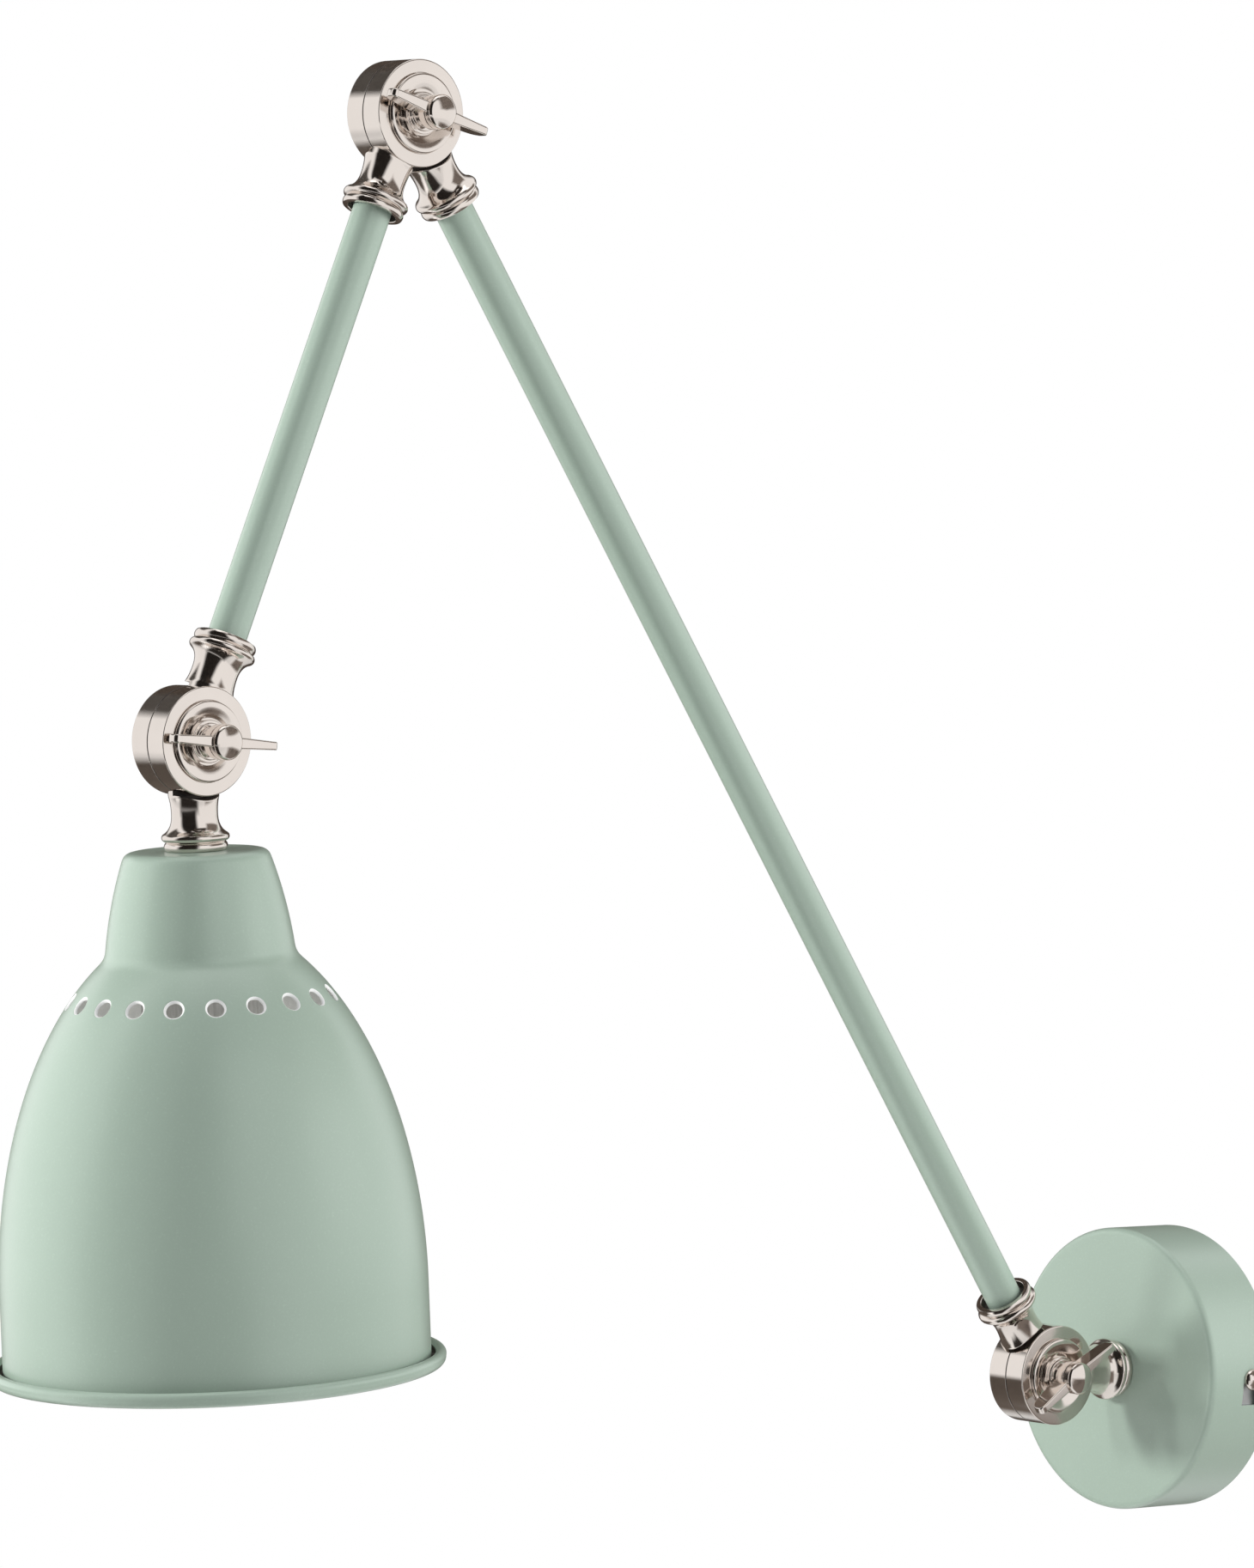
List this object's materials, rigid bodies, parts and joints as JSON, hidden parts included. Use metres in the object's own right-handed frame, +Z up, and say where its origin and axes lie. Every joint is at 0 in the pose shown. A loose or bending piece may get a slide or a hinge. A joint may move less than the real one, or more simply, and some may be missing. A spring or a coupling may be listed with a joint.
{
  "type": "articulating wall lamp",
  "caption": "Wall lamp with a round canopy, a long and a short tube arm on clamped knuckle joints with wing screws, and a bell shade with a ring of vents.",
  "frame": {"origin": "centre of the canopy's back, on the wall, midway between the two wall-screw slots", "axes": "-Y leads out from the wall into the room, +Z up, +X to the right seen from the room, along all three pivots; the wing screws stand on the +X side"},
  "size_m": [0.1466, 0.502, 0.4914],
  "materials": {
    "sage_enamel": "satin powder coat, sage green outside and off-white inside the shade",
    "satin_nickel": "satin to polished warm nickel plate",
    "zinc_steel": "zinc plated",
    "brass": "plain",
    "fibre": "pressed fibre",
    "black_moulding": "moulded",
    "white_porcelain": "glazed",
    "white_moulding": "moulded"
  },
  "bodies": {
    "wall_side": {"canopy": "sage_enamel", "wall_bracket": "zinc_steel", "canopy_side_screws": "satin_nickel", "terminal_block": "white_moulding", "terminal_screws": "brass", "terminal_fixing_screws": "zinc_steel", "earth_screw": "brass", "wall_knuckle": "satin_nickel", "canopy_nipple": "zinc_steel", "canopy_lock_washer": "zinc_steel", "canopy_lock_nut": "zinc_steel", "base_pressure_washer": "satin_nickel"},
    "lower_arm": {"lower_arm_base_knuckle": "satin_nickel", "lower_arm_tube": "sage_enamel", "lower_arm_elbow_knuckle": "satin_nickel", "base_friction_washer": "fibre", "elbow_friction_washer": "fibre"},
    "upper_arm": {"upper_arm_elbow_knuckle": "satin_nickel", "upper_arm_tube": "sage_enamel", "upper_arm_shade_knuckle": "satin_nickel", "elbow_pressure_washer": "satin_nickel", "shade_pressure_washer": "satin_nickel"},
    "shade_head": {"shade_knuckle": "satin_nickel", "shade_friction_washer": "fibre", "shade_nipple": "zinc_steel", "shade_lock_washer": "zinc_steel", "shade_lock_nut": "zinc_steel", "shade": "sage_enamel", "lampholder_cap": "black_moulding", "lampholder_skirt": "black_moulding", "lampholder_insulator": "white_porcelain", "lamp_shell": "brass", "centre_contact": "brass"},
    "base_wing": {"base_wing_screw": "satin_nickel"},
    "elbow_wing": {"elbow_wing_screw": "satin_nickel"},
    "shade_wing": {"shade_wing_screw": "satin_nickel"}
  },
  "joints": [
    {"name": "base_pivot", "type": "hinge", "parent": "wall_side", "child": "lower_arm", "pos_m": [0, -0.0645, 0], "axis": [1, 0, 0], "range_deg": [-35, 144]},
    {"name": "elbow_pivot", "type": "hinge", "parent": "lower_arm", "child": "upper_arm", "pos_m": [0, -0.36573, 0.42387], "axis": [1, 0, 0], "range_deg": [-249, 2.5]},
    {"name": "shade_tilt", "type": "hinge", "parent": "upper_arm", "child": "shade_head", "pos_m": [0, -0.44563, 0.21996], "axis": [1, 0, 0], "range_deg": [-112, 59.5]},
    {"name": "base_clamp_turn", "type": "hinge", "parent": "lower_arm", "child": "base_wing", "pos_m": [0, -0.0645, 0], "axis": [1, 0, 0], "range_deg": [0, 360]},
    {"name": "elbow_clamp_turn", "type": "hinge", "parent": "lower_arm", "child": "elbow_wing", "pos_m": [0, -0.36573, 0.42387], "axis": [1, 0, 0], "range_deg": [0, 360]},
    {"name": "shade_clamp_turn", "type": "hinge", "parent": "shade_head", "child": "shade_wing", "pos_m": [0, -0.44563, 0.21996], "axis": [1, 0, 0], "range_deg": [0, 360]}
  ]
}
